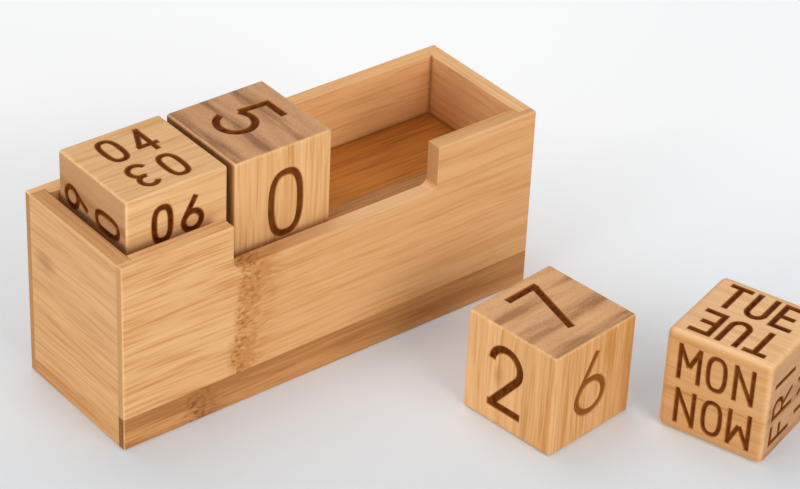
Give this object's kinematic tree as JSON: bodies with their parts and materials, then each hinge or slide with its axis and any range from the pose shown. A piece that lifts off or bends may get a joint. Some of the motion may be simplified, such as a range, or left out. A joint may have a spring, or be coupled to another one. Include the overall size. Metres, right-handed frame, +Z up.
{
  "type": "perpetual calendar",
  "caption": "Bamboo box with a raised trough and a notched front, holding loose engraved cubes that are turned by hand to show the month, the day and the weekday.",
  "frame": {"origin": "middle of the flat underside of the box", "axes": "+X along the box to the right as seen from the front, the front faces -Y, +Z up"},
  "size_m": [0.2053, 0.1862, 0.0885],
  "materials": {
    "light_bamboo": "satin sanded and oiled carbonised bamboo",
    "dark_bamboo": "satin darker bamboo stave",
    "floor_bamboo": "satin dark bamboo floor",
    "cube_bamboo": "satin sanded bamboo with burnt figures"
  },
  "bodies": {
    "box": {"front_upper_stave": "light_bamboo", "front_lower_stave": "dark_bamboo", "back_upper_stave": "light_bamboo", "back_lower_stave": "light_bamboo", "left_end_upper_stave": "light_bamboo", "left_end_lower_stave": "light_bamboo", "right_end_upper_stave": "light_bamboo", "right_end_lower_stave": "light_bamboo", "trough_floor_stave_1": "floor_bamboo", "trough_floor_stave_2": "floor_bamboo", "trough_floor_stave_3": "floor_bamboo", "base_stave_1": "light_bamboo", "base_stave_2": "light_bamboo", "base_stave_3": "light_bamboo"},
    "month_cube": {"month_cube_strip_1": "cube_bamboo", "month_cube_strip_2": "cube_bamboo", "month_cube_strip_3": "cube_bamboo"},
    "first_day_cube": {"first_day_cube_strip_1": "cube_bamboo", "first_day_cube_strip_2": "cube_bamboo", "first_day_cube_strip_3": "cube_bamboo"},
    "second_day_cube": {"second_day_cube_strip_1": "cube_bamboo", "second_day_cube_strip_2": "cube_bamboo", "second_day_cube_strip_3": "cube_bamboo"},
    "weekday_cube": {"weekday_cube_strip_1": "cube_bamboo", "weekday_cube_strip_2": "cube_bamboo"}
  },
  "joints": [
    {"name": "month_cube_lift", "type": "slide", "parent": "box", "child": "month_cube", "axis": [0, 0, 1], "range_m": [0, 0.06]},
    {"name": "first_day_cube_lift", "type": "slide", "parent": "box", "child": "first_day_cube", "axis": [0, 0, 1], "range_m": [0, 0.06]},
    {"name": "second_day_cube_turn", "type": "hinge", "parent": "box", "child": "second_day_cube", "pos_m": [0.0437, -0.09095, 0], "axis": [0, 0, 1], "continuous": true},
    {"name": "weekday_cube_turn", "type": "hinge", "parent": "box", "child": "weekday_cube", "pos_m": [0.0938, -0.13285, 0], "axis": [0, 0, 1], "continuous": true}
  ]
}
